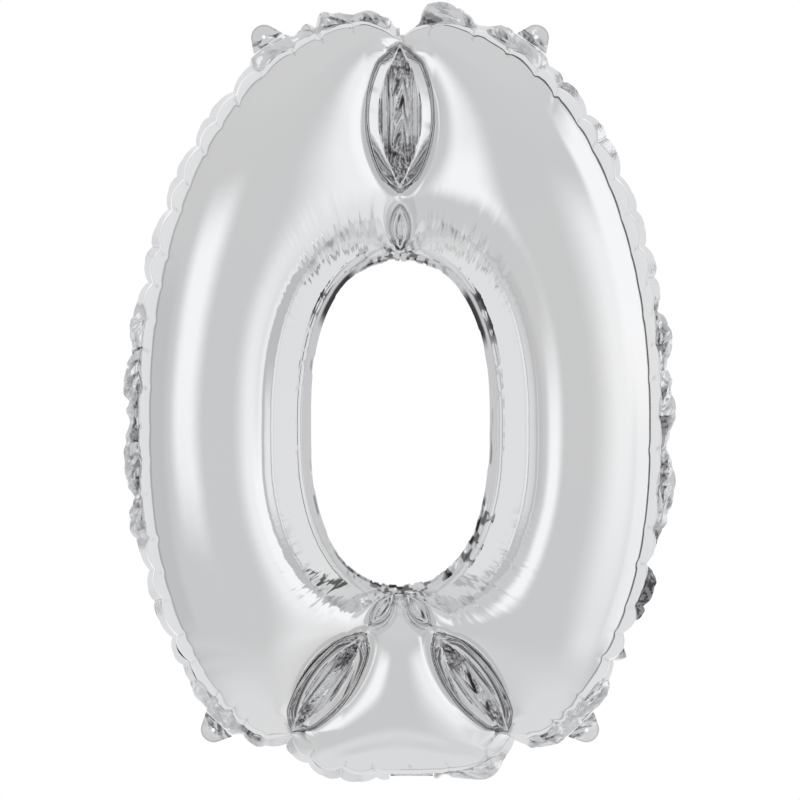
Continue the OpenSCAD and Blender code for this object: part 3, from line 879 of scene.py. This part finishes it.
def tab_points(t, seed):
    """Rings of points from the ribbon hole to the tab's edge: a round end, two flanks and a straight root."""
    n1, facets = Noise(seed), Facets(seed + 2)
    turn_by = np.linspace(0, 2 * math.pi, N_ROUND, endpoint=False)
    u, v = np.cos(turn_by), np.sin(turn_by)
    corner = math.atan2(-TAB_REACH, TAB_ROOT_W / 2)
    flank = corner + math.acos(TAB_R / math.hypot(TAB_ROOT_W / 2, TAB_REACH))
    tangent = TAB_R / np.maximum(np.abs(u) * math.cos(flank) + v * math.sin(flank), 1e-3)
    edge = np.where(np.arctan2(v, np.abs(u)) < flank, tangent, TAB_R)
    edge = np.minimum(edge, np.where(v < -1e-6, (TAB_REACH + TAB_ROOT) / np.maximum(-v, 1e-6), 99))
    radius = TAB_HOLE_R + (edge - TAB_HOLE_R)[:, None] * np.linspace(0, 1, N_OUT)[None]
    across, up = u[:, None] * radius, TAB_REACH + v[:, None] * radius
    away = smooth(up, 0.0, 2.0)
    crumple = 1.1 * facets(across / 3.4, up / 2.6) * smooth(-up, -6.5, -1.5)
    lift = away * (crumple + 0.25 * up + 0.03 * up ** 2 + 0.3 * n1(across / 4, up / 4))
    normal = outer_normal(np.array(t))
    along = np.array([normal[1], -normal[0]])
    base = outer_at(t) + normal * (MARGIN_W + CREASE)
    p = np.zeros((N_ROUND, N_OUT, 3))
    p[..., 0] = base[0] + along[0] * across + normal[0] * up
    p[..., 2] = base[1] + along[1] * across + normal[1] * up
    p[..., 1] = lift
    # painted shade on the crumpled facets low on the tab, and a faint painted dark line just inside its round
    # end's edge
    low = smooth(-up, -4.6, -2.4)
    dark = low * smooth(facets.patch(across / 3.4, up / 2.6), 0.1, 0.25) * (0.6 + 0.3 * n1(across, up))
    out = radius / edge[:, None]
    rim = smooth(out, 0.86, 0.93) * (1 - smooth(out, 0.95, 1.0))
    return p, np.maximum(dark, 0.3 * rim * (up > 3))


for i, (place, angle) in enumerate(TABS.items()):
    points, dark = tab_points(angle, 101 + 7 * i)
    make_piece(f"{place}_tab", to_world(points.reshape(-1, 3)), grid_quads(N_ROUND, N_OUT, True), dark,
               replaces=(f"{place}_hang_tab",), slot="fused_foil", body=f"{place}_tab")

# ---------------------------------------------------------------- filling neck

lo, hi = (np.array(v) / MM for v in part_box("neck_front_foil"))
back_hi = np.array(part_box("neck_back_foil")[1]) / MM
NECK_X = (lo[0] + hi[0]) / 2
NECK_Z = (lo[2] + back_hi[2]) / 2 - CENTRE_Z
NECK_W, NECK_START, NECK_END = hi[0] - lo[0], lo[1], hi[1]
FOIL_T = hi[2] - lo[2]
film_lo, film_hi = (np.array(v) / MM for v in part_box("neck_front_film"))
FILM_HALF_W, FILM_END = (film_hi[0] - film_lo[0]) / 2, film_hi[1]
FOIL_CORNER, FILM_CORNER, UNDER_SEAM = 3.0, 0.01, 0.12
NECK_U, NECK_V = 61, 101
neck_creases, neck_wave = Facets(131), Noise(133)


def neck_sheet(name, node, slot, spans, end, offset, corner):
    """One sheet of the folded neck, in one or more strips; all sheets share the same creases."""
    u = np.concatenate([np.linspace(*span, NECK_U) for span in spans])[:, None]
    v = np.linspace(0, 1, NECK_V)[None]
    inset = np.maximum(np.abs(u) - (NECK_W / 2 - corner), 0)
    tip = end - (corner - np.sqrt(np.maximum(corner ** 2 - inset ** 2, 0)))
    y = NECK_START + (tip - NECK_START) * v
    free = smooth(y, NECK_START, NECK_START + 5)
    z = NECK_Z + offset + free * (0.45 * neck_creases(u / 4.5, y / 5.5) + 0.6 * neck_wave(u / 9, y / 8))
    # the two foils close round the fold line, just under the seam
    if abs(offset) > FOIL_T:
        z += (1 - smooth(y, NECK_START, NECK_START + 1.5)) * (-OUTER_BOTTOM - UNDER_SEAM - NECK_Z - offset)
    p = np.stack([NECK_X + u + 0 * v, y, z], -1)
    # painted shade along the sharpest creases
    dark = free * 0.3 * smooth(creases(neck_wave, u / 4.5, y / 5.5), 0.82, 0.97)
    quads = grid_quads(len(u), NECK_V)
    # no faces from one strip to the next
    quads = quads[quads[:, 0] // NECK_V % NECK_U != NECK_U - 1]
    make_piece(name, to_world(p.reshape(-1, 3)), quads, dark, replaces=(node,), slot=slot, body="neck")


for place, side in (("front", -1), ("back", 1)):
    neck_sheet(f"neck_{place}", f"neck_{place}_foil", "silver_foil",
               [(-NECK_W / 2, NECK_W / 2)], NECK_END, side * 1.5 * FOIL_T, FOIL_CORNER)
    neck_sheet(f"neck_{place}_lining", f"neck_{place}_film", "clear_film",
               [(-FILM_HALF_W, FILM_HALF_W)], FILM_END, side * 0.6 * FOIL_T, FILM_CORNER)
neck_sheet("neck_welds", "neck_side_welds", "fused_foil",
           [(-NECK_W / 2, -FILM_HALF_W), (FILM_HALF_W, NECK_W / 2)], FILM_END, 0.0, FILM_CORNER)

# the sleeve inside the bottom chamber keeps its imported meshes
for node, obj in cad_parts.items():
    if node.startswith("valve"):
        for slot in obj.material_slots:
            slot.material = MATERIALS["clear_film"]

# ---------------------------------------------------------------- studio

scene = bpy.context.scene
world = bpy.data.worlds.new("studio")
scene.world = world
world.use_nodes = True
tree = world.node_tree
tree.nodes.clear()


def math_node(op, *values):
    made = tree.nodes.new("ShaderNodeMath")
    made.operation = op
    for i, v in enumerate(values):
        if isinstance(v, (int, float)):
            made.inputs[i].default_value = v
        else:
            tree.links.new(v, made.inputs[i])
    return made.outputs[0]


def fade(x, a, b, low=0.0, high=1.0):
    """A soft step from low at a to high at b."""
    made = tree.nodes.new("ShaderNodeMapRange")
    made.interpolation_type = 'SMOOTHSTEP'
    for key, v in (("From Min", a), ("From Max", b), ("To Min", low), ("To Max", high)):
        made.inputs[key].default_value = v
    tree.links.new(x, made.inputs["Value"])
    return made.outputs["Result"]


def window(x, a, b, soft):
    """1 from a to b, fading out over soft on each side."""
    return math_node('MULTIPLY', fade(x, a - soft, a), fade(x, b, b + soft, 1.0, 0.0))


def toward(level, value, weight):
    """Level moved to a value by a weight."""
    return math_node('MULTIPLY_ADD', math_node('SUBTRACT', value, level), weight, level)


def light(level, value, azimuths, elevations):
    """A soft-edged patch of one light level; each range is from, to and softness in degrees."""
    weight = math_node('MULTIPLY', window(azimuth, *azimuths), window(elevation, *elevations))
    return toward(level, value, weight)


coord = tree.nodes.new("ShaderNodeTexCoord")
split = tree.nodes.new("ShaderNodeSeparateXYZ")
tree.links.new(coord.outputs["Generated"], split.inputs[0])
dx, dy, dz = split.outputs
front = math_node('MULTIPLY', dy, -1.0)
azimuth = math_node('MULTIPLY', math_node('ARCTAN2', dx, front), 180 / math.pi)
elevation = math_node('MULTIPLY', math_node('ARCSINE', dz), 180 / math.pi)
polar = math_node('MULTIPLY', math_node('ARCCOSINE', front), 180 / math.pi)

# Angles are seen from the balloon, 0 to the front and positive to the right; the values are light levels.
level = fade(elevation, -62, -32, 0.80, 0.665)
level = toward(level, 0.70, fade(elevation, 25, 60))
level = light(level, 0.60, (-118, -84, 14), (-24, 8, 10))
level = light(level, 0.97, (84, 125, 10), (-26, 30, 12))
level = light(level, 1.04, (-52, -40, 20), (2, 12, 18))
level = light(level, fade(elevation, -30, 4, 0.87, 0.98), (54, 62, 42), (-34, 14, 17))
level = light(level, 1.06, (72, 100, 14), (8, 36, 12))
# the backdrop round the balloon's rear half
level = toward(level, 0.84, fade(polar, 111.5, 115.0))
# two tall lights on a darker ground, straight behind the balloon
behind = fade(polar, 142, 158)
level = toward(level, 0.66, behind)
for a, b in ((-0.36, -0.2), (0.08, 0.3)):
    level = toward(level, 1.04, math_node('MULTIPLY', behind, window(dx, a, b, 0.12)))
# a dark line where the backdrop ends, seen along the edges of the tubes
line = math_node('MULTIPLY', window(polar, 109.0, 112.0, 1.6), fade(elevation, -50, -12, 0.35, 0.9))
line = math_node('MULTIPLY', line, fade(azimuth, -20, 20, 0.3, 1.0))
level = toward(level, 0.05, line)

LIGHT_TINT = (0.995, 1.0, 1.01)
shine = tree.nodes.new("ShaderNodeCombineColor")
for i, tint in enumerate(LIGHT_TINT):
    tree.links.new(math_node('MULTIPLY', level, tint), shine.inputs[i])
lit = tree.nodes.new("ShaderNodeBackground")
tree.links.new(shine.outputs[0], lit.inputs["Color"])
# the camera itself sees plain white
plain = tree.nodes.new("ShaderNodeBackground")
plain.inputs["Color"].default_value = (1, 1, 1, 1)
path = tree.nodes.new("ShaderNodeLightPath")
mix = tree.nodes.new("ShaderNodeMixShader")
tree.links.new(path.outputs["Is Camera Ray"], mix.inputs[0])
tree.links.new(lit.outputs[0], mix.inputs[1])
tree.links.new(plain.outputs[0], mix.inputs[2])
out = tree.nodes.new("ShaderNodeOutputWorld")
tree.links.new(mix.outputs[0], out.inputs["Surface"])
scene.view_settings.view_transform = 'Standard'

# pale floor just under the balloon, left out of the foil's reflections
FLOOR_GAP, FLOOR_HALF = 0.03, 3.0
floor_z = cad_box[0][2] - FLOOR_GAP
corners = [(x * FLOOR_HALF, y * FLOOR_HALF, floor_z) for x, y in ((-1, -1), (1, -1), (1, 1), (-1, 1))]
floor_mesh = bpy.data.meshes.new("floor")
floor_mesh.from_pydata(corners, [], [(0, 1, 2, 3)])
floor = bpy.data.objects.new("floor", floor_mesh)
scene.collection.objects.link(floor)
pale, _, pale_bsdf = new_material("floor")
pale_bsdf.inputs["Base Color"].default_value = (0.0, 0.0, 0.0, 1)
pale_bsdf.inputs["Emission Color"].default_value = (1, 1, 1, 1)
pale_bsdf.inputs["Emission Strength"].default_value = 1.0
pale_bsdf.inputs["Specular IOR Level"].default_value = 0.0
floor_mesh.materials.append(pale)
floor.visible_glossy = False

# camera straight in front; PICTURE_W metres across the balloon fill the picture's width
DISTANCE, PICTURE_W, CAMERA_Z = 2.2, 0.3392, -0.0008
camera_data = bpy.data.cameras.new("camera")
camera = bpy.data.objects.new("camera", camera_data)
scene.collection.objects.link(camera)
camera.location = (0, -DISTANCE, CAMERA_Z)
camera.rotation_euler = (math.pi / 2, 0, 0)
camera_data.sensor_width = 36
camera_data.lens = camera_data.sensor_width * DISTANCE / PICTURE_W
scene.camera = camera
